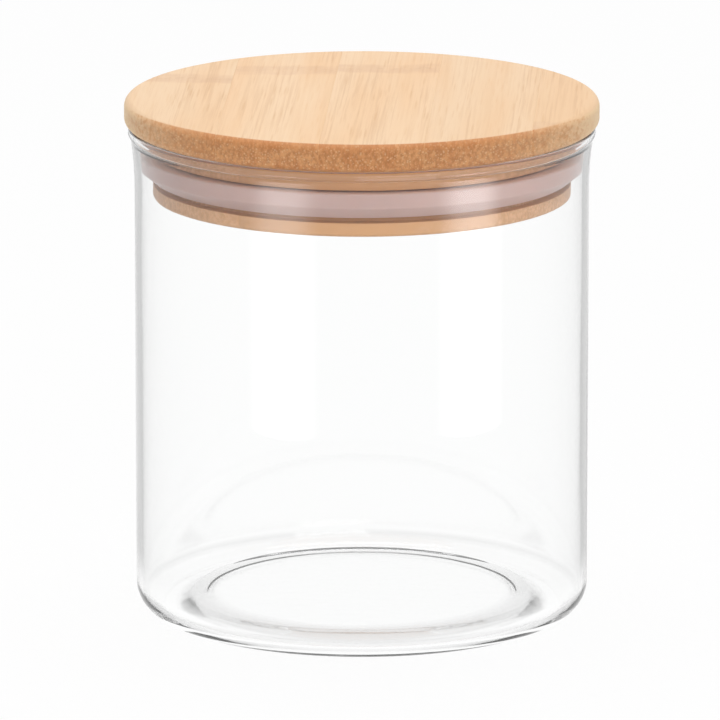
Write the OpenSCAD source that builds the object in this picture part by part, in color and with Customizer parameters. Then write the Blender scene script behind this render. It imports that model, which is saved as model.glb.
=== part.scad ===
// Round glass canister with a bamboo plug lid and a lip seal.
// Millimetres, +Z up. The origin is the middle of the ring that the jar stands on.

/* [Jar] */
// Outside diameter of the straight wall
jar_d = 100; // [85:1:125]
// Height from the table to the top of the rim
jar_h = 109.1; // [90:0.1:200]
// Thickness of the wall
wall_t = 1.5; // [1.3:0.1:2.5]
// Thickness of the floor
floor_t = 2; // [1.5:0.1:3]
// Outside radius of the rounded heel
heel_r = 6.5; // [5:0.5:10]

/* [Base] */
// Width of the flat ring that the jar stands on
foot_w = 2.2; // [1:0.1:3]
// How far the middle of the floor is lifted above that ring
lift_h = 2.4; // [1:0.1:3.5]
// Width of the slope up to the lifted floor, underneath
under_slope_w = 9; // [6:0.5:14]
// Width of the same slope inside the jar
inner_slope_w = 5.8; // [4:0.1:10]

/* [Mouth] */
// How far the wall opens out up to the rim
mouth_flare = 1.2; // [0.6:0.1:2]
// Height over which it opens out
flare_h = 14; // [8:1:20]
// Radius of the melted bead on the rim
bead_r = 1.15; // [0.85:0.05:1.2]

/* [Lid top board] */
// How far the top board stands out past the rim
overhang = 0.8; // [0.5:0.1:4]
// Thickness of the top board
board_t = 6; // [5:0.5:12]
// Radius of the board's rounded edges
board_round = 1.8; // [1:0.1:2.4]
// Number of strips in the top board
top_strips = 5; // [4:1:7]
// How much of the last strip was turned away with the waste
offcut_w = 9; // [0:0.5:12]
// Gap between the top board and the rim
rest_gap = 0.3; // [0.1:0.1:1]

/* [Lid plug] */
// Gap between the plug and the straight bore
plug_gap = 2.6; // [1.8:0.1:4]
// Height of the neck above the seal's groove
neck_h = 5.1; // [3:0.1:8]
// Height of the seal's groove
groove_h = 7.2; // [6:0.1:9]
// Depth of the seal's groove
groove_depth = 2.2; // [1.5:0.1:2.6]
// Height of the plug below the groove
sole_h = 3.1; // [2:0.1:6]
// Radius of the plug's rounded lower edge
sole_round = 0.8; // [0.4:0.1:1.5]
// Number of strips in the plug
core_strips = 13; // [9:1:17]

/* [Seal] */
// Height of the band of the lip that lies on the glass
lip_band_h = 3.4; // [2:0.1:4]
// Thickness of the lip at its top
lip_t = 1.3; // [0.8:0.1:1.6]
// How far the top of the seal is dished behind the lip
dish_h = 0.2; // [0.1:0.1:1.5]
// Clearance of the seal, in its groove and to the glass
seal_gap = 0.1; // [0.05:0.01:0.1]
// Open slot left in the groove below the seal
slot_h = 1.2; // [0.3:0.1:2]

/* [Hidden] */
// jar
jar_r = jar_d / 2;
bore_r = jar_r - wall_t;
foot_out_r = jar_r - heel_r;
foot_in_r = foot_out_r - foot_w;
flare_z = jar_h - flare_h;
flare_arc_r = (flare_h * flare_h + mouth_flare * mouth_flare) / (2 * mouth_flare);
bead_z = jar_h - bead_r;
bead_mid_r = jar_r - wall_t / 2 + flare_at(bead_z);
rim_r = bead_mid_r + bead_r;

// lid
board_r = rim_r + overhang;
board_z = jar_h + rest_gap;
plug_r = bore_r - plug_gap;
plug_h = neck_h + groove_h + sole_h;
plug_z = board_z - plug_h;
groove_z = plug_z + sole_h;
groove_r = plug_r - groove_depth;
top_strip_w = (2 * board_r + offcut_w) / top_strips;
core_strip_w = 2 * plug_r / core_strips;

// seal
seal_bottom = groove_z + slot_h;
seal_top = groove_z + groove_h - seal_gap;
band_z = seal_top - lip_band_h;
dish_z = seal_top - dish_h;

// steps along the slope of the floor
slope_steps = 10;

$fn = 128;

// how far the mouth has opened out at height z
function flare_at(z) = z < flare_z ? 0
    : flare_arc_r - sqrt(flare_arc_r * flare_arc_r - pow(z - flare_z, 2));

// radius of the seal's lip where it meets the glass at height z
function lip_r(z) = bore_r + flare_at(z) - seal_gap;

// half section of the jar's outside, or of its inside when inset by the wall
module jar_half(inset, bottom) {
    r = jar_r - inset;
    heel = heel_r - inset;
    translate([r - heel, bottom + heel]) circle(heel);
    translate([0, bottom]) square([r - heel, heel]);
    translate([0, bottom + heel]) square([r, flare_z - bottom - heel]);
    difference() {
        translate([0, flare_z]) square([jar_r + mouth_flare, flare_h]);
        translate([jar_r + flare_arc_r, flare_z]) circle(flare_arc_r + inset);
    }
}

// half section of the lift of the floor: an S-shaped slope of the given width, then flat
module floor_lift(slope_w) {
    slope = [for (i = [0:slope_steps]) let (s = i / slope_steps)
        [foot_in_r - slope_w * s, lift_h * (1 - cos(180 * s)) / 2]];
    polygon(concat([[0, 0]], slope, [[0, lift_h]]));
}

module glass_jar() {
    color([0.86, 0.93, 0.92, 0.35])
        rotate_extrude()
            difference() {
                union() {
                    intersection() {
                        jar_half(0, 0);
                        square([jar_r + mouth_flare, bead_z]);
                    }
                    translate([bead_mid_r, bead_z]) circle(bead_r);
                }
                difference() {
                    intersection() {
                        jar_half(wall_t, floor_t);
                        square([bead_mid_r, jar_h]);
                    }
                    translate([0, floor_t]) floor_lift(inner_slope_w);
                    translate([bead_mid_r, bead_z]) circle(bead_r);
                }
                floor_lift(under_slope_w);
            }
}

// ring with a root in the groove and a lip that leans out to the glass
module seal_ring() {
    color([0.83, 0.79, 0.77])
        rotate_extrude()
            polygon([
                [groove_r + seal_gap, seal_bottom],
                [plug_r, seal_bottom],
                [lip_r(band_z), band_z],
                [lip_r(seal_top), seal_top],
                [lip_r(seal_top) - lip_t, seal_top],
                [plug_r, dish_z],
                [groove_r + seal_gap, dish_z]
            ]);
}

// the turned shape of the whole top board, lying on the plug
module board_shape() {
    translate([0, 0, board_z])
        rotate_extrude() {
            square([board_r - board_round, board_t]);
            translate([0, board_round]) square([board_r, board_t - 2 * board_round]);
            for (z = [board_round, board_t - board_round])
                translate([board_r - board_round, z]) circle(board_round);
        }
}

// the turned shape of the whole plug, with the seal's groove round it
module plug_shape() {
    translate([0, 0, plug_z])
        rotate_extrude()
            difference() {
                union() {
                    square([plug_r - sole_round, plug_h]);
                    translate([0, sole_round]) square([plug_r, plug_h - sole_round]);
                    translate([plug_r - sole_round, sole_round]) circle(sole_round);
                }
                translate([groove_r, sole_h]) square([groove_depth + sole_round, groove_h]);
            }
}

// strip i of the top board, its grain along Y
module top_strip(i) {
    color([0.95, 0.80, 0.62])
        intersection() {
            board_shape();
            translate([-board_r + (i - 1) * top_strip_w, -board_r, board_z])
                cube([top_strip_w, 2 * board_r, board_t]);
        }
}

// strip i of the plug, its grain along X, across the top board
module core_strip(i) {
    color([0.87, 0.70, 0.52])
        intersection() {
            plug_shape();
            translate([-plug_r, -plug_r + (i - 1) * core_strip_w, plug_z])
                cube([2 * plug_r, core_strip_w, plug_h]);
        }
}

glass_jar();
seal_ring();
for (i = [1:top_strips])
    top_strip(i);
for (i = [1:core_strips])
    core_strip(i);
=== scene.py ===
import math
import random

import bmesh
import bpy
from mathutils import Matrix, Vector


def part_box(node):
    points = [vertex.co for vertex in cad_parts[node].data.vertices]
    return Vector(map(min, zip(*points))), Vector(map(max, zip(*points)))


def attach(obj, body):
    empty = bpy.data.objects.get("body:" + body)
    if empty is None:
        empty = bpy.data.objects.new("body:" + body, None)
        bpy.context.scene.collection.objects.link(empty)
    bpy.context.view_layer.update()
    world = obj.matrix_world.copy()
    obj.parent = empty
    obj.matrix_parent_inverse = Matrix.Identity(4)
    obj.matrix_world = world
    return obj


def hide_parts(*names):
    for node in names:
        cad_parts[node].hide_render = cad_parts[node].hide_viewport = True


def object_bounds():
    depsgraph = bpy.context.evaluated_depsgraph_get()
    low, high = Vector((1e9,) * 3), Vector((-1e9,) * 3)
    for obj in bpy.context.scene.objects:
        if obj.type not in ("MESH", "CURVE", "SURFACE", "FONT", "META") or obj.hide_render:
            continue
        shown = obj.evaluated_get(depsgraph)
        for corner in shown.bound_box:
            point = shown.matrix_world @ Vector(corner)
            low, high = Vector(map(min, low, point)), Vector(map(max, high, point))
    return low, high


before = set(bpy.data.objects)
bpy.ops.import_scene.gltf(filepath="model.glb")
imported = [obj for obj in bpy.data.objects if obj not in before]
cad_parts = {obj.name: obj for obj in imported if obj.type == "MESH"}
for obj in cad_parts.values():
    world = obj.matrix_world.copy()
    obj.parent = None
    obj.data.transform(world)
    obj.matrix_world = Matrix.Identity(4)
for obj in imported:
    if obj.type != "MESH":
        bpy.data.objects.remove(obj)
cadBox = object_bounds()
mm = 0.001
scene = bpy.context.scene
scene.view_settings.view_transform = "Standard"
print("stage: frame loaded,", len(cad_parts), "CAD nodes")


# a new node, its inputs given by name or number as a value or as another node's output
def node(tree, kind, inputs=None, **settings):
    made = tree.nodes.new(kind)
    for key, value in settings.items():
        setattr(made, key, value)
    for key, value in (inputs or {}).items():
        if isinstance(value, bpy.types.NodeSocket):
            tree.links.new(value, made.inputs[key])
        else:
            made.inputs[key].default_value = value
    return made


def maths(tree, operation, *values, clamp=False):
    made = node(tree, "ShaderNodeMath", dict(enumerate(values)), operation=operation, use_clamp=clamp)
    return made.outputs[0]


def product(tree, first, *others):
    for other in others:
        first = maths(tree, "MULTIPLY", first, other)
    return first


# goes smoothly from one number to another while the value crosses the span
def ramp(tree, value, span, gives=(0, 1)):
    ends = {"From Min": span[0], "From Max": span[1], "To Min": gives[0], "To Max": gives[1]}
    made = node(tree, "ShaderNodeMapRange", {"Value": value, **ends}, interpolation_type="SMOOTHSTEP")
    return made.outputs[0]


def blended(tree, factor, first, second, kind="RGBA"):
    made = node(tree, "ShaderNodeMix", {"Factor": factor, "A": first, "B": second}, data_type=kind)
    return made.outputs["Result"]


def axes(tree, vector):
    return node(tree, "ShaderNodeSeparateXYZ", {0: vector}).outputs


def emptyFinish(name):
    finish = bpy.data.materials.new(name)
    finish.use_nodes = True
    finish.node_tree.nodes.clear()
    return finish, finish.node_tree


# camera, floor, room and lamps

shot = {
    "azimuth": 2.8,               # degrees, turns the lid's grain a little off the line of sight
    "elevation": 13.24,           # degrees above the table
    "distance": 2.09,             # metres
    "lens": 473,                  # mm
    "sensor": 36,                 # mm, its width
    "aim": (-0.0004, 0, 0.0560),
    "clip": (0.05, 50),           # metres, nearest and furthest that is drawn
}


def aimAt(thing, place, target):
    thing.location = place
    thing.rotation_euler = (Vector(target) - Vector(place)).to_track_quat("-Z", "Y").to_euler()


def makeCamera():
    azimuth = math.radians(shot["azimuth"])
    elevation = math.radians(shot["elevation"])
    level = math.cos(elevation)
    outward = Vector((math.sin(azimuth) * level, -math.cos(azimuth) * level, math.sin(elevation)))
    camera = bpy.data.objects.new("camera", bpy.data.cameras.new("camera"))
    camera.data.lens = shot["lens"]
    camera.data.sensor_width = shot["sensor"]
    camera.data.clip_start, camera.data.clip_end = shot["clip"]
    scene.collection.objects.link(camera)
    aimAt(camera, Vector(shot["aim"]) + outward * shot["distance"], shot["aim"])
    scene.camera = camera


room = {
    "fill": 0.416,                # even light from all round
    "floorColour": (0.93, 0.93, 0.93, 1),
    "floorRadius": 6.0,           # metres
    "floorSides": 96,
    "floorGlow": 0.94,            # share of the floor that is plain white, the rest shows shadow
    "wallGrey": 0.50,             # how bright the floor looks to light turned back inside the near wall
    "wallFaces": 2,               # faces of glass that such light has passed
    "greyFrom": (0.060, 0.085),   # metres out, where that grey comes in, so the jar's heel stays light
    "baseGrey": 0.92,             # how bright the room looks to light turned back inside the jar's floor
    "baseFaces": 6,
}


# white for what the camera sees straight or through glass, grey for light that enters a wall, turns on its
# inner side and leaves again, which is what draws the edges of clear glass
def brightnessByPath(tree, faces, grey, share=1):
    half = 0.5                    # tells the depths apart, as they are whole numbers
    path = node(tree, "ShaderNodeLightPath").outputs
    turned = maths(tree, "GREATER_THAN", path["Glossy Depth"], half)
    passed = maths(tree, "COMPARE", path["Transmission Depth"], faces, half)
    return path, maths(tree, "POWER", grey, product(tree, turned, passed, share))


def makeFloor():
    mesh = bpy.data.meshes.new("floor")
    shape = bmesh.new()
    bmesh.ops.create_circle(shape, cap_ends=True, segments=room["floorSides"], radius=room["floorRadius"])
    shape.to_mesh(mesh)
    shape.free()
    floor = bpy.data.objects.new("floor", mesh)
    scene.collection.objects.link(floor)
    finish, tree = emptyFinish("floorFinish")
    coords = node(tree, "ShaderNodeTexCoord").outputs["Object"]
    reach = node(tree, "ShaderNodeVectorMath", {0: coords}, operation="LENGTH").outputs["Value"]
    away = ramp(tree, reach, room["greyFrom"])
    path, bright = brightnessByPath(tree, room["wallFaces"], room["wallGrey"], away)
    inGlass = maths(tree, "MAXIMUM", path["Is Glossy Ray"], path["Is Transmission Ray"])
    share = maths(tree, "MAXIMUM", inGlass, product(tree, path["Is Camera Ray"], room["floorGlow"]))
    cloth = node(tree, "ShaderNodeBsdfDiffuse", {"Color": room["floorColour"]})
    glow = node(tree, "ShaderNodeEmission", {"Strength": bright})
    mixed = node(tree, "ShaderNodeMixShader", {0: share, 1: cloth.outputs[0], 2: glow.outputs[0]})
    node(tree, "ShaderNodeOutputMaterial", {"Surface": mixed.outputs[0]})
    mesh.materials.append(finish)


def makeRoom():
    world = bpy.data.worlds.new("room")
    scene.world = world
    world.use_nodes = True
    tree = world.node_tree
    tree.nodes.clear()
    path, bright = brightnessByPath(tree, room["baseFaces"], room["baseGrey"])
    inGlass = maths(tree, "MAXIMUM", path["Is Glossy Ray"], path["Is Transmission Ray"])
    seen = maths(tree, "MAXIMUM", path["Is Camera Ray"], inGlass)
    strength = blended(tree, seen, room["fill"], bright, "FLOAT")
    sky = node(tree, "ShaderNodeBackground", {"Color": (1, 1, 1, 1), "Strength": strength})
    node(tree, "ShaderNodeOutputWorld", {"Surface": sky.outputs[0]})


lamps = {
    # name: (place, aimed at, width, height, watts, share of each half that fades out)
    "overhead": ((0.0, 0.15, 1.5), (0, 0, 0.1), 1.0, 1.0, 11.6, 0),
    "front": ((0.40, -1.05, 0.75), (0, 0, 0.1), 0.9, 0.6, 3.0, 0),
    "leftCard": ((-0.077, -0.126, 0.050), (0, 0, 0.050), 0.092, 0.054, 0.056, 0.8),
    "rightCard": ((0.115, -0.092, 0.050), (0, 0, 0.050), 0.092, 0.054, 0.080, 0.8),
}


# fades a lamp out towards its left and right ends
def softenEnds(data, share):
    data.use_nodes = True
    tree = data.node_tree
    spot = axes(tree, node(tree, "ShaderNodeNewGeometry").outputs["Parametric"])
    aside = maths(tree, "ABSOLUTE", maths(tree, "SUBTRACT", spot["X"], 0.5))
    glow = next(made for made in tree.nodes if made.type == "EMISSION")
    tree.links.new(ramp(tree, aside, (0.5, 0.5 - share / 2)), glow.inputs["Strength"])


def makeLamps():
    for name, (place, target, width, height, watts, share) in lamps.items():
        data = bpy.data.lights.new(name, "AREA")
        data.shape = "RECTANGLE"
        data.size = width
        data.size_y = height
        data.energy = watts
        lamp = bpy.data.objects.new(name, data)
        lamp.visible_camera = False
        if share:
            softenEnds(data, share)
            lamp.visible_diffuse = lamp.visible_transmission = False   # the cards only show as reflections
        scene.collection.objects.link(lamp)
        aimAt(lamp, place, target)


makeCamera()
makeFloor()
makeRoom()
makeLamps()
print("stage: camera, floor and lamps")

# outlines, in millimetres, with what the frame holds read from it


# points of an arc, angles in degrees
def arc(centre, radius, start, end, steps):
    turns = [math.radians(start + (end - start) * i / steps) for i in range(steps + 1)]
    return [(centre[0] + radius * math.cos(turn), centre[1] + radius * math.sin(turn)) for turn in turns]


# an outline through corners (r, z, rounding), each corner replaced by a fillet
def filleted(corners, closed=False, steps=6):
    mostOfSide = 0.49             # share of a side that one fillet may take
    points = []
    count = len(corners)
    for i, (r, z, rounding) in enumerate(corners):
        here = Vector((r, z))
        if rounding <= 0 or (not closed and i in (0, count - 1)):
            points.append((r, z))
            continue
        before = Vector(corners[i - 1][:2]) - here
        after = Vector(corners[(i + 1) % count][:2]) - here
        half = before.angle(after) / 2
        reach = min(rounding / math.tan(half), mostOfSide * before.length, mostOfSide * after.length)
        radius = reach * math.tan(half)
        inward = (before.normalized() + after.normalized()).normalized()
        middle = here + inward * (radius / math.sin(half))
        start = here + before.normalized() * reach - middle
        end = here + after.normalized() * reach - middle
        startAngle = math.atan2(start.y, start.x)
        endAngle = math.atan2(end.y, end.x)
        sweep = (endAngle - startAngle + math.pi) % (2 * math.pi) - math.pi
        points += arc(middle, radius, math.degrees(startAngle), math.degrees(startAngle + sweep), steps)
    if closed:
        points.append(points[0])
    return points


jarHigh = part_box("glass_jar")[1]

jar = {
    "height": jarHigh.z / mm,
    "wallRadius": 50.0,
    "wall": 1.5,
    "floor": 2.0,
    "heel": 6.5,                  # outside radius of the rounded heel
    "innerHeel": 4.7,             # and inside, where the glass is drawn a touch thinner
    "foot": 2.2,                  # width of the ring it stands on
    "underSlope": 9.0,            # width of the slope up to the lifted floor, underneath
    "innerSlope": 5.8,            # and on top, where it is steeper
    "lift": 2.4,                  # height of that slope
    "flare": 1.2,                 # how far the mouth opens out
    "flareHeight": 14.0,
    "bead": 1.15,                 # radius of the melted rim
    "beadBlend": 0.2,             # radius of the hollow between the rim and the wall
    "belowHollow": 0.15,          # where the wall's last point stands below that hollow
    "segments": 256,
    "flatSteps": 12,              # steps from the middle of the floor to its slope, and so on round
    "slopeSteps": 24,
    "heelSteps": 24,
    "flareSteps": 14,
    "blendSteps": 8,
    "beadSteps": 28,
}


# radius of the arc along which the mouth opens out
def flareRadius():
    return (jar["flareHeight"] ** 2 + jar["flare"] ** 2) / (2 * jar["flare"])


def flareAt(z):
    rise = z - (jar["height"] - jar["flareHeight"])
    if rise <= 0:
        return 0.0
    return flareRadius() - math.sqrt(flareRadius() ** 2 - rise * rise)


# lift of the floor at radius r: flat in the middle, an S-shaped slope as wide as asked, then the flat foot
def floorLift(r, slope):
    ringInner = jar["wallRadius"] - jar["heel"] - jar["foot"]
    if r >= ringInner:
        return 0.0
    down = max(r - (ringInner - slope), 0) / slope
    return jar["lift"] * (1 + math.cos(math.pi * down)) / 2


# out along the underside, up the outside, over the rim, down the inside and back to the middle
def jarOutline():
    heelMiddle = jar["wallRadius"] - jar["heel"]
    ringInner = heelMiddle - jar["foot"]
    inside = jar["wallRadius"] - jar["wall"]

    def across(slope):
        top = ringInner - slope
        flat = [top * i / jar["flatSteps"] for i in range(jar["flatSteps"])]
        return flat + [top + slope * i / jar["slopeSteps"] for i in range(jar["slopeSteps"] + 1)]

    # the bead, and the small hollows that lead into it from both sides of the wall
    bead, blend, halfWall = jar["bead"], jar["beadBlend"], jar["wall"] / 2
    beadHeight = jar["height"] - bead
    beadMiddle = jar["wallRadius"] + flareAt(beadHeight) - halfWall
    drop = math.sqrt((bead + blend) ** 2 - (halfWall + blend) ** 2)
    turn = math.degrees(math.atan2(drop, halfWall + blend))
    hollowHeight = beadHeight - drop
    flareBottom = jar["height"] - jar["flareHeight"]
    lean = math.degrees(math.asin((hollowHeight - flareBottom) / flareRadius()))
    flared = hollowHeight - jar["belowHollow"] - flareBottom
    heights = [flareBottom + flared * i / jar["flareSteps"] for i in range(jar["flareSteps"] + 1)]

    points = [(r, floorLift(r, jar["underSlope"])) for r in across(jar["underSlope"])]
    points += arc((heelMiddle, jar["heel"]), jar["heel"], -90, 0, jar["heelSteps"])
    points += [(jar["wallRadius"] + flareAt(z), z) for z in heights]
    outerHollow = (beadMiddle + halfWall + blend, hollowHeight)
    points += arc(outerHollow, blend, 180 - lean, 180 - turn, jar["blendSteps"])
    points += arc((beadMiddle, beadHeight), bead, -turn, 180 + turn, jar["beadSteps"])[1:-1]
    innerHollow = (beadMiddle - halfWall - blend, hollowHeight)
    points += arc(innerHollow, blend, turn, -lean, jar["blendSteps"])
    points += [(inside + flareAt(z), z) for z in reversed(heights)]
    innerMiddle = (inside - jar["innerHeel"], jar["floor"] + jar["innerHeel"])
    points += arc(innerMiddle, jar["innerHeel"], 0, -90, jar["heelSteps"])
    innerRadii = reversed(across(jar["innerSlope"]))
    points += [(r, floorLift(r, jar["innerSlope"]) + jar["floor"]) for r in innerRadii]
    return points


sealLow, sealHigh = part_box("seal_ring")

seal = {
    "bottom": sealLow.z / mm,
    "top": sealHigh.z / mm,
    "inner": 43.8,
    "root": 45.9,                 # outside of the root, level with the plug
    "lipBottom": 48.55,
    "lipTop": sealHigh.x / mm,
    "band": 3.4,                  # height of the part that lies on the glass
    "lip": 1.3,                   # thickness of the lip at its top
    "dish": 0.2,                  # how far the top is dished behind the lip
    "rootRound": 0.25,            # rounded corners, from the root out to the lip
    "underRound": 0.35,
    "bandRound": 0.9,
    "lipRound": 0.45,
    "dishRound": 0.6,
    "segments": 192,
}


def sealOutline():
    bandBottom = seal["top"] - seal["band"]
    dished = seal["top"] - seal["dish"]
    return filleted([
        (seal["inner"], seal["bottom"], seal["rootRound"]),
        (seal["root"], seal["bottom"], seal["underRound"]),
        (seal["lipBottom"], bandBottom, seal["bandRound"]),
        (seal["lipTop"], seal["top"], seal["lipRound"]),
        (seal["lipTop"] - seal["lip"], seal["top"], seal["lipRound"]),
        (seal["root"], dished, seal["dishRound"]),
        (seal["inner"], dished, seal["rootRound"]),
    ], closed=True)


boardLow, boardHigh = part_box("top_strip_3")

board = {
    "radius": min(min(-cadBox[0][i], cadBox[1][i]) for i in (0, 1)) / mm,   # the widest piece of all
    "bottom": boardLow.z / mm,
    "top": boardHigh.z / mm,
    "round": 1.8,
    "roundSteps": 10,             # faces across that rounding
    "strips": 5,
    "eased": 0.05,                # the touch of sandpaper along each seam
    "knuckles": {1: 0.018, 2: 0.0285, 3: 0.031, 5: -0.03},   # strips that show one, and where in metres
    "offBoard": 0.2,              # a place past the board's edge, for the strips that show none
}


def boardOutline():
    low, high, wide, edge = board["bottom"], board["top"], board["radius"], board["round"]
    corners = [(0, low, 0), (wide, low, edge), (wide, high, edge), (0, high, 0)]
    return filleted(corners, steps=board["roundSteps"])


plugLow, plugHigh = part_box("core_strip_7")

plug = {
    "radius": plugHigh.x / mm,
    "bottom": plugLow.z / mm,
    "top": plugHigh.z / mm,
    "round": 0.8,
    "groove": 2.2,                # depth of the seal's groove
    "grooveBottom": 3.1,          # height of the groove's lower side above the plug's bottom
    "grooveHeight": 7.2,
    "grooveEdge": 0.15,           # rounding of the groove's two edges
    "grooveCorner": 0.2,          # and of the corners in its depth
    "strips": 13,
    "eased": 0.04,
    "knuckleReach": 0.3,          # metres to each side within which a knuckle falls, so most miss the plug
}


def plugOutline():
    low, high, wide = plug["bottom"], plug["top"], plug["radius"]
    deep = wide - plug["groove"]
    edge, corner = plug["grooveEdge"], plug["grooveCorner"]
    grooveLow = low + plug["grooveBottom"]
    grooveHigh = grooveLow + plug["grooveHeight"]
    return filleted([
        (0, low, 0), (wide, low, plug["round"]),
        (wide, grooveLow, edge), (deep, grooveLow, corner),
        (deep, grooveHigh, corner), (wide, grooveHigh, edge),
        (wide, high, 0), (0, high, 0),
    ])


# turned pieces and strips

closing = {
    "turned": 2e-6,               # metres within which the points of a turned piece are joined
    "doubles": 1e-6,              # and those of any piece
    "slivers": 1e-7,              # edges shorter than this are dissolved
}


# geometry nodes that turn an outline (r in X, z in Z) round the Z axis
def turningNodes():
    tree = bpy.data.node_groups.new("turning", "GeometryNodeTree")
    face = tree.interface
    face.new_socket("Outline", in_out="INPUT", socket_type="NodeSocketGeometry")
    face.new_socket("Segments", in_out="INPUT", socket_type="NodeSocketInt")
    face.new_socket("Finish", in_out="INPUT", socket_type="NodeSocketMaterial")
    face.new_socket("Turned", in_out="OUTPUT", socket_type="NodeSocketGeometry")
    given = node(tree, "NodeGroupInput").outputs
    size = node(tree, "GeometryNodeAttributeDomainSize", {"Geometry": given["Outline"]}, component="MESH")
    points = size.outputs["Point Count"]

    # a grid with the outline's points along Y, and a station for each angle along X
    stations = maths(tree, "ADD", given["Segments"], 1)
    grid = node(tree, "GeometryNodeMeshGrid", {"Vertices X": stations, "Vertices Y": points})
    index = node(tree, "GeometryNodeInputIndex").outputs[0]
    station = maths(tree, "FLOOR", maths(tree, "DIVIDE", maths(tree, "ADD", index, 0.5), points))
    along = maths(tree, "SUBTRACT", index, product(tree, station, points))
    angle = product(tree, maths(tree, "DIVIDE", station, given["Segments"]), 2 * math.pi)

    # each point of the grid goes to its place on the turned shape
    position = node(tree, "GeometryNodeInputPosition").outputs[0]
    found = {"Geometry": given["Outline"], "Value": position, "Index": along}
    sample = node(tree, "GeometryNodeSampleIndex", found, data_type="FLOAT_VECTOR", domain="POINT")
    spot = axes(tree, sample.outputs[0])
    joined = node(tree, "ShaderNodeCombineXYZ", {
        "X": product(tree, spot["X"], maths(tree, "COSINE", angle)),
        "Y": product(tree, spot["X"], maths(tree, "SINE", angle)),
        "Z": spot["Z"],
    })
    moved = {"Geometry": grid.outputs["Mesh"], "Position": joined.outputs[0]}
    placed = node(tree, "GeometryNodeSetPosition", moved)
    near = {"Geometry": placed.outputs[0], "Distance": closing["turned"]}
    merged = node(tree, "GeometryNodeMergeByDistance", near)
    smooth = node(tree, "GeometryNodeSetShadeSmooth", {"Geometry": merged.outputs[0]})
    whole = node(tree, "GeometryNodeRealizeInstances", {0: smooth.outputs[0]})
    coat = {"Geometry": whole.outputs[0], "Material": given["Finish"]}
    coated = node(tree, "GeometryNodeSetMaterial", coat)
    node(tree, "NodeGroupOutput", {0: coated.outputs[0]})
    return tree


# joins doubles, points the faces outwards and shades them smooth
def tidyNormals(mesh, sharpAngle=None):
    shape = bmesh.new()
    shape.from_mesh(mesh)
    bmesh.ops.remove_doubles(shape, verts=shape.verts, dist=closing["doubles"])
    bmesh.ops.dissolve_degenerate(shape, edges=shape.edges, dist=closing["slivers"])
    bmesh.ops.recalc_face_normals(shape, faces=shape.faces)
    if shape.calc_volume(signed=True) < 0:
        bmesh.ops.reverse_faces(shape, faces=shape.faces)
    for face in shape.faces:
        face.smooth = True
    shape.to_mesh(mesh)
    shape.free()
    if sharpAngle is not None:
        mesh.set_sharp_from_angle(angle=math.radians(sharpAngle))


# the mesh that an object's modifiers make, as a plain mesh
def plainMesh(thing, name):
    ready = bpy.context.evaluated_depsgraph_get()
    mesh = bpy.data.meshes.new_from_object(thing.evaluated_get(ready), depsgraph=ready)
    mesh.name = name
    return mesh


def turnedPiece(name, outline, segments, finish):
    source = bpy.data.meshes.new(name + "Outline")
    points = [(r * mm, 0, z * mm) for r, z in outline]
    source.from_pydata(points, [(i, i + 1) for i in range(len(points) - 1)], [])
    blank = bpy.data.objects.new(name + "Blank", source)
    scene.collection.objects.link(blank)
    turn = blank.modifiers.new("turn", "NODES")
    turn.node_group = turningNodes()
    sockets = {s.name: s.identifier for s in turn.node_group.interface.items_tree if s.in_out == "INPUT"}
    turn[sockets["Segments"]] = segments
    turn[sockets["Finish"]] = finish
    mesh = plainMesh(blank, name)
    bpy.data.objects.remove(blank)
    tidyNormals(mesh)
    piece = bpy.data.objects.new(name, mesh)
    scene.collection.objects.link(piece)
    return piece


cut = {
    "columns": 48,                # faces along each curved side of a strip
    "easeAngle": 50,              # degrees, edges sharper than this are eased
    "easeSteps": 2,
    "sharp": 35,                  # degrees, edges sharper than this stay crisp when shaded
}


# one strip of a turned board: the outline (r, z) goes round Z and is kept where low <= X <= high
def stripMesh(name, outline, low, high, alongX):
    columns = cut["columns"]
    shape = bmesh.new()
    rings = []
    for r, z in outline:
        if r <= 0:
            continue
        start = math.acos(max(-1, min(1, max(low, -r) / r)))
        end = math.acos(max(-1, min(1, min(high, r) / r)))
        turns = [start + (end - start) * i / columns for i in range(columns + 1)]
        far = [(r * math.cos(turn), r * math.sin(turn), z) for turn in turns]
        near = [(x, -y, z) for x, y, z in reversed(far)]
        rings.append([shape.verts.new([c * mm for c in point]) for point in far + near])
    around = 2 * (columns + 1)
    for lower, upper in zip(rings, rings[1:]):
        for i in range(around):
            j = (i + 1) % around
            if i not in (columns, around - 1):
                shape.faces.new((lower[i], lower[j], upper[j], upper[i]))
    shape.faces.new(list(reversed(rings[0])))
    shape.faces.new(rings[-1])
    for left, right in ((columns, columns + 1), (around - 1, 0)):   # the seams, one face each
        shape.faces.new([ring[left] for ring in rings] + [ring[right] for ring in reversed(rings)])
    if alongX:
        quarter = Matrix.Rotation(math.pi / 2, 3, "Z")
        bmesh.ops.rotate(shape, verts=shape.verts, cent=(0, 0, 0), matrix=quarter)
    mesh = bpy.data.meshes.new(name)
    shape.to_mesh(mesh)
    shape.free()
    tidyNormals(mesh)
    return mesh


# a strip with eased edges, and with its own tone, grain and knuckle for the finish to read
def stripPiece(name, mesh, eased, finish, tone, seed, knuckleAt):
    piece = bpy.data.objects.new(name, mesh)
    scene.collection.objects.link(piece)
    ease = piece.modifiers.new("ease", "BEVEL")
    ease.width = eased * mm
    ease.segments = cut["easeSteps"]
    ease.limit_method = "ANGLE"
    ease.angle_limit = math.radians(cut["easeAngle"])
    rounded = plainMesh(piece, name)
    piece.modifiers.clear()
    piece.data = rounded
    tidyNormals(rounded, cut["sharp"])
    for label, value in (("stripTone", tone), ("stripSeed", seed), ("knuckleAt", knuckleAt)):
        layer = rounded.attributes.new(label, "FLOAT", "POINT")
        layer.data.foreach_set("value", [value] * len(rounded.vertices))
    rounded.materials.append(finish)
    return piece


# finishes

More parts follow.
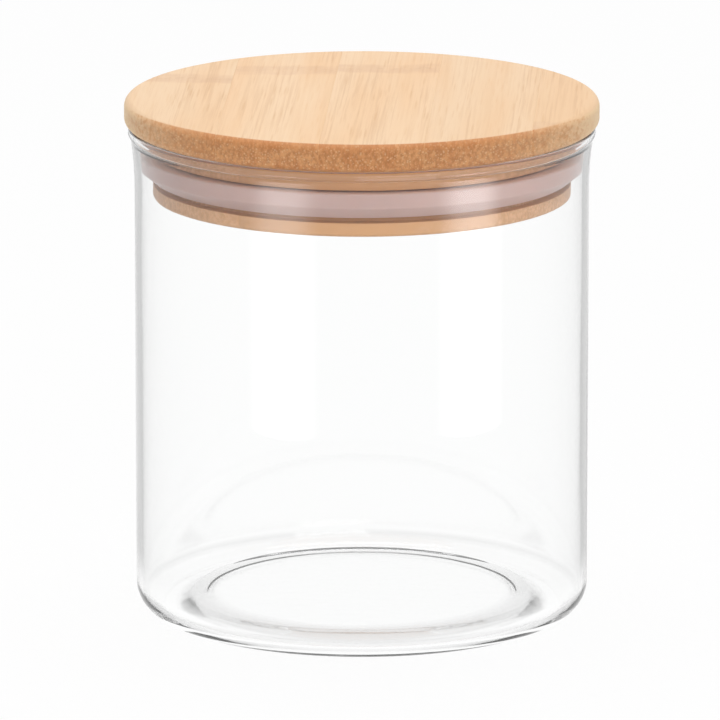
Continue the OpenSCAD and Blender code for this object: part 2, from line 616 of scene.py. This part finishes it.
clearJar = {
    "tint": (0.998, 1, 0.999, 1),
    "index": 1.47,
    "shadowTint": (0.96, 0.97, 0.965, 1),  # light that goes straight through to the floor
    "ripples": (60, 60, 12),               # slow ripples in the drawn glass: cells in a metre
    "rippleDetail": 2,
    "rippleStrength": 0.15,
    "rippleDepth": 0.0004,                 # metres
    "slopePaintedShade": (0.82, 0.82, 0.82, 1),    # painted shade: soft grey where the floor slopes
    "slopeFrom": (31.0, 36.5),             # radii in mm between which that painted shade comes in
    "slopeTo": (42.0, 37.5),               # and goes out again
    "baseHeight": (12.0, 8.0),             # heights in mm, the painted shade stays low down
    "heelFrom": (3.4, 4.2),                # heights in mm of a thin, fainter ring of painted shade round the heel
    "heelTo": (5.4, 4.6),
    "heelInner": (43.0, 46.0),             # radii in mm, so the lifted floor stays out of it
    # how strong the heel's ring of painted shade is
    "heelPaintedShadeShare": 0.6,
}


def clearGlass():
    finish, tree = emptyFinish("clearGlass")
    coords = node(tree, "ShaderNodeTexCoord").outputs["Object"]

    # painted shade: the soft grey rings of the slope and the heel, painted into the glass's colour
    def fade(value, key):
        return ramp(tree, value, [number * mm for number in clearJar[key]])

    flat = node(tree, "ShaderNodeVectorMath", {0: coords, 1: (1, 1, 0)}, operation="MULTIPLY")
    reach = node(tree, "ShaderNodeVectorMath", {0: flat.outputs[0]}, operation="LENGTH").outputs["Value"]
    height = axes(tree, coords)["Z"]
    slope = product(tree, fade(reach, "slopeFrom"), fade(reach, "slopeTo"), fade(height, "baseHeight"))
    heel = product(tree, fade(height, "heelFrom"), fade(height, "heelTo"), fade(reach, "heelInner"),
                   clearJar["heelPaintedShadeShare"])
    rings = maths(tree, "MAXIMUM", slope, heel)
    # the glass's own tint, with the rings of painted shade laid over it
    tint = blended(tree, rings, clearJar["tint"], clearJar["slopePaintedShade"])

    stretch = node(tree, "ShaderNodeMapping", {"Vector": coords, "Scale": clearJar["ripples"]})
    ripple = node(tree, "ShaderNodeTexNoise", {
        "Vector": stretch.outputs[0],
        "Scale": 1,
        "Detail": clearJar["rippleDetail"],
    })
    bump = node(tree, "ShaderNodeBump", {
        "Strength": clearJar["rippleStrength"],
        "Distance": clearJar["rippleDepth"],
        "Height": ripple.outputs["Fac"],
    })
    glass = node(tree, "ShaderNodeBsdfPrincipled", {
        "Base Color": tint,
        "Roughness": 0,
        "IOR": clearJar["index"],
        "Transmission Weight": 1,
        "Normal": bump.outputs[0],
    })
    shadow = node(tree, "ShaderNodeBsdfTransparent", {"Color": clearJar["shadowTint"]})
    inShadow = node(tree, "ShaderNodeLightPath").outputs["Is Shadow Ray"]
    mixed = node(tree, "ShaderNodeMixShader", {0: inShadow, 1: glass.outputs[0], 2: shadow.outputs[0]})
    node(tree, "ShaderNodeOutputMaterial", {"Surface": mixed.outputs[0]})
    return finish


silicone = {
    "deep": (0.705, 0.495, 0.450, 1),      # the two tones of its cloudiness
    "milky": (0.765, 0.545, 0.500, 1),
    "clouds": 90,                          # in a metre
    "cloudDetail": 3,
    "roughness": 0.38,
    "index": 1.41,
    "clearness": 0.25,
    "softness": 0.4,                       # share of the light that wanders about inside
    "wander": (0.003, 0.0025, 0.002),      # how far, in metres, for red, green and blue
}


def siliconeRubber():
    finish, tree = emptyFinish("siliconeRubber")
    coords = node(tree, "ShaderNodeTexCoord").outputs["Object"]
    clouds = node(tree, "ShaderNodeTexNoise", {
        "Vector": coords,
        "Scale": silicone["clouds"],
        "Detail": silicone["cloudDetail"],
    })
    rubber = node(tree, "ShaderNodeBsdfPrincipled", {
        "Base Color": blended(tree, clouds.outputs["Fac"], silicone["deep"], silicone["milky"]),
        "Roughness": silicone["roughness"],
        "IOR": silicone["index"],
        "Transmission Weight": silicone["clearness"],
        "Subsurface Weight": silicone["softness"],
        "Subsurface Radius": silicone["wander"],
        "Subsurface Scale": 1,
    })
    node(tree, "ShaderNodeOutputMaterial", {"Surface": rubber.outputs[0]})
    return finish


bamboo = {
    "pale": (0.925, 0.665, 0.430, 1),
    "warm": (0.905, 0.610, 0.365, 1),
    "fleck": (0.700, 0.430, 0.240, 1),
    "side": (0.950, 0.690, 0.415, 1),      # where the strips' narrow faces show
    "endPale": (0.810, 0.410, 0.178, 1),   # cut ends of the fibres
    "endDeep": (0.650, 0.265, 0.095, 1),
    "endSpot": (0.440, 0.158, 0.055, 1),
    "knuckle": (0.680, 0.400, 0.240, 1),
    "deeperTop": (113.6, 114.8),                # heights in mm between which the cut ends turn deeper towards the board's top
}

plugBamboo = dict(
    bamboo,
    pale=(0.700, 0.380, 0.185, 1),
    warm=(0.650, 0.335, 0.150, 1),
    fleck=(0.490, 0.235, 0.100, 1),
    side=(0.690, 0.370, 0.172, 1),
    endPale=(0.800, 0.510, 0.315, 1),
    endDeep=(0.660, 0.380, 0.210, 1),
    endSpot=(0.460, 0.230, 0.110, 1),
    deeperTop=(200, 210),                       # above the whole lid: the plug's ends never turn deeper
)

grain = {
    "shift": (0.131, 0.377, 0.073),        # metres from one seed's place in the pattern to the next
    "toneStep": 0.025,                     # share by which a strip may be lighter or darker
    "fibreCore": 0.35,                     # share of its radius at which a fibre is at its strongest
    "fibreSpan": (0.25, 0.80),             # span of the cells' chance values that makes fibres stronger
}

# cells in a metre across the grain, along it and upwards, detail, roughness, the span of the noise that
# counts and what it gives at that span's ends
patterns = {
    "broad": ((90, 9, 90), 2, 0.5, (0.35, 0.65), (0, 1)),
    "cluster": ((150, 12, 150), 2, 0.5, (0.42, 0.62), (0.25, 1)),   # streaks gather in some places
    "streaks": ((1500, 20, 1500), 4, 0.6, (0.42, 0.66), (0, 1)),
    "mist": ((260, 160, 260), 3, 0.5, (0.30, 0.60), (0.4, 1)),
    "dots": ((520, 260, 520), 1, 0.5, (0.52, 0.62), (0, 1)),
    "sideGrit": ((1300, 420, 950), 3, 0.6, (0.44, 0.64), (0, 1)),
    "endTone": ((260, 90, 260), 2, 0.5, (0.35, 0.65), (0.25, 0.75)),
    "endGrit": ((1500, 160, 950), 3, 0.6, (0.36, 0.64), (0, 1)),
}

# cells in a metre as above, radius of the fibre in its cell, and how strong the faintest is
fibres = {
    "coarse": ((1250, 62, 1250), 0.42, 0.15),
    "fine": ((2700, 100, 2700), 0.50, 0.15),
    "ends": ((1900, 160, 1900), 0.50, 0.30),
}

strengths = {
    "streaks": 0.42,
    "fine": 0.11,
    "coarse": 0.32,
    "knuckleBand": 0.34,
    "knuckleDots": 0.20,
    "sideFibres": 0.25,
    "sideGrit": 0.55,
    "endGrit": 0.55,
    "endFibres": 0.45,
    "deeperTop": 0.45,
}

knuckle = {
    "stray": 0.006,                        # metres of its strip over which the band strays
    "strayCells": (110, 40, 110),
    "band": (0.0062, 0.0030),              # metres from its middle where it begins, and where it is full
    "dots": (0.0016, 0.0008),
}

# the lean runs from 0 on a flat face to 1 on an upright one, and the crossing from 0 where an edge follows
# the grain to 1 where it cuts across it
edge = {
    "leastLean": 0.02,
    "gritFrom": (0.10, 0.50),              # crossings between which grit comes in
    "endFrom": (0.10, 0.95),               # and fibre ends take over from the sides
    "startSpan": (0.10, 0.90),             # the edge's colours start at a greater lean at the sides
    "start": (0.55, 0),
    "turn": (0.12, 0.34),                  # leans past that start between which they come in
}

relief = {
    "roughSpan": (0.3, 0.7),               # span of the streaks that makes the surface rougher
    "rough": (0.46, 0.56),                 # from this to this
    "fibreRough": 0.14,                    # and the fibres add this
    "streakHeight": 0.5,
    "fibreDepth": 0.8,
    "strength": 0.35,
    "depth": 0.00006,                      # metres
    "shine": 0.2,
}


def bambooFinish(name, turned, colours):
    finish, tree = emptyFinish(name)

    # the grain runs along the pattern's Y
    quarter = (0, 0, math.radians(90 if turned else 0))
    coords = node(tree, "ShaderNodeTexCoord").outputs
    lay = node(tree, "ShaderNodeMapping", {"Vector": coords["Object"], "Rotation": quarter}).outputs[0]
    facing = node(tree, "ShaderNodeMapping", {"Vector": coords["Normal"], "Rotation": quarter},
                  vector_type="NORMAL").outputs[0]

    def own(label):
        return node(tree, "ShaderNodeAttribute", attribute_name=label).outputs["Fac"]

    # each strip takes its own place in the pattern
    shift = {0: grain["shift"], "Scale": own("stripSeed")}
    shifted = node(tree, "ShaderNodeVectorMath", shift, operation="SCALE").outputs[0]
    moved = node(tree, "ShaderNodeVectorMath", {0: lay, 1: shifted}, operation="ADD").outputs[0]

    def scaled(cells):
        return node(tree, "ShaderNodeVectorMath", {0: moved, 1: cells}, operation="MULTIPLY").outputs[0]

    def noise(cells, detail=2, roughness=0.5):
        values = {"Vector": scaled(cells), "Scale": 1, "Detail": detail, "Roughness": roughness}
        return node(tree, "ShaderNodeTexNoise", values).outputs["Fac"]

    def pattern(key):
        cells, detail, roughness, span, gives = patterns[key]
        return ramp(tree, noise(cells, detail, roughness), span, gives)

    def fibre(key):
        cells, radius, faintest = fibres[key]
        made = node(tree, "ShaderNodeTexVoronoi", {"Vector": scaled(cells), "Scale": 1}, feature="F1")
        spot = ramp(tree, made.outputs["Distance"], (radius, radius * grain["fibreCore"]))
        ofCell = node(tree, "ShaderNodeSeparateColor", {0: made.outputs["Color"]}).outputs["Red"]
        return product(tree, spot, ramp(tree, ofCell, grain["fibreSpan"], (faintest, 1)))

    # lays one colour over another, as strongly as the pattern and its strength say
    def over(under, colour, strength, *amounts):
        return blended(tree, product(tree, *amounts, strengths[strength]), under, colours[colour])

    coarse = fibre("coarse")
    fine = fibre("fine")
    streaks = noise(*patterns["streaks"][:3])
    cluster = pattern("cluster")

    # flat faces: pale, with fine streaks and short flecks
    face = blended(tree, pattern("broad"), colours["pale"], colours["warm"])
    face = over(face, "fleck", "streaks", ramp(tree, streaks, *patterns["streaks"][3:]), cluster)
    face = over(face, "fleck", "fine", fine)
    face = over(face, "fleck", "coarse", coarse, cluster)

    # the knuckle of the cane: a soft band across one strip, with a row of dots in it
    place = axes(tree, lay)
    uneven = maths(tree, "SUBTRACT", noise(knuckle["strayCells"]), 0.5)
    fromKnuckle = maths(tree, "SUBTRACT", place["Y"], own("knuckleAt"))
    strayed = maths(tree, "ADD", fromKnuckle, product(tree, uneven, knuckle["stray"]))
    offset = maths(tree, "ABSOLUTE", strayed)
    face = over(face, "knuckle", "knuckleBand", ramp(tree, offset, knuckle["band"]), pattern("mist"))
    face = over(face, "fleck", "knuckleDots", ramp(tree, offset, knuckle["dots"]), pattern("dots"))

    # round the edge: narrow faces at the sides, cut fibre ends where the edge crosses the grain
    way = axes(tree, facing)
    flatness = product(tree, way["Z"], way["Z"])
    lean = maths(tree, "SQRT", maths(tree, "SUBTRACT", 1, flatness), clamp=True)
    leaning = maths(tree, "MAXIMUM", lean, edge["leastLean"])
    crossing = maths(tree, "ABSOLUTE", maths(tree, "DIVIDE", way["Y"], leaning))
    side = over(colours["side"], "endPale", "sideFibres", fine)
    side = over(side, "endDeep", "sideGrit", pattern("sideGrit"), ramp(tree, crossing, edge["gritFrom"]))
    end = blended(tree, pattern("endTone"), colours["endPale"], colours["endDeep"])
    end = over(end, "endSpot", "endGrit", pattern("endGrit"))
    end = over(end, "side", "endFibres", fibre("ends"))
    # the cut ends turn deeper towards the top of the board's edge
    end = over(end, "endDeep", "deeperTop", ramp(tree, place["Z"], [height * mm for height in colours["deeperTop"]]))
    rim = blended(tree, ramp(tree, crossing, edge["endFrom"]), side, end)
    starts = ramp(tree, crossing, edge["startSpan"], edge["start"])
    colour = blended(tree, ramp(tree, maths(tree, "SUBTRACT", lean, starts), edge["turn"]), face, rim)
    lighter = maths(tree, "MULTIPLY_ADD", own("stripTone"), grain["toneStep"], 1)
    toned = node(tree, "ShaderNodeVectorMath", {0: colour, "Scale": lighter}, operation="SCALE")

    raised = product(tree, streaks, relief["streakHeight"])
    bump = node(tree, "ShaderNodeBump", {
        "Strength": relief["strength"],
        "Distance": relief["depth"],
        "Height": maths(tree, "SUBTRACT", raised, product(tree, coarse, relief["fibreDepth"])),
    })
    streakRough = ramp(tree, streaks, relief["roughSpan"], relief["rough"])
    wood = node(tree, "ShaderNodeBsdfPrincipled", {
        "Base Color": toned.outputs[0],
        "Roughness": maths(tree, "ADD", product(tree, coarse, relief["fibreRough"]), streakRough),
        "Specular IOR Level": relief["shine"],
        "Normal": bump.outputs[0],
    })
    node(tree, "ShaderNodeOutputMaterial", {"Surface": wood.outputs[0]})
    return finish


glassFinish = clearGlass()
rubberFinish = siliconeRubber()
boardFinish = bambooFinish("bambooTopBoard", False, bamboo)
plugFinish = bambooFinish("bambooPlug", True, plugBamboo)
print("stage: finishes")

# the pieces

glassJar = turnedPiece("glassJar", jarOutline(), jar["segments"], glassFinish)
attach(glassJar, "jar")
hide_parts("glass_jar")

sealRing = turnedPiece("sealRing", sealOutline(), seal["segments"], rubberFinish)
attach(sealRing, "seal")
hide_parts("seal_ring")
print("stage: jar and seal")

chance = random.Random(7)
highestSeed = 20

for i in range(1, board["strips"] + 1):
    low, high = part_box(f"top_strip_{i}")
    left = low.x / mm if i > 1 else -board["radius"]
    right = high.x / mm if i < board["strips"] else board["radius"]
    mesh = stripMesh(f"boardStrip{i}", boardOutline(), left, right, alongX=False)
    tone = chance.uniform(-1, 1)
    seed = chance.uniform(0, highestSeed)
    knuckleAt = board["knuckles"].get(i, board["offBoard"])
    strip = stripPiece(f"boardStrip{i}", mesh, board["eased"], boardFinish, tone, seed, knuckleAt)
    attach(strip, "lid")
    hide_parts(f"top_strip_{i}")

for i in range(1, plug["strips"] + 1):
    low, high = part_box(f"core_strip_{i}")
    left = low.y / mm if i > 1 else -plug["radius"]
    right = high.y / mm if i < plug["strips"] else plug["radius"]
    mesh = stripMesh(f"plugStrip{i}", plugOutline(), left, right, alongX=True)
    tone = chance.uniform(-1, 1)
    seed = chance.uniform(0, highestSeed)
    knuckleAt = chance.uniform(-plug["knuckleReach"], plug["knuckleReach"])
    strip = stripPiece(f"plugStrip{i}", mesh, plug["eased"], plugFinish, tone, seed, knuckleAt)
    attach(strip, "lid")
    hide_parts(f"core_strip_{i}")
print("stage: lid strips")
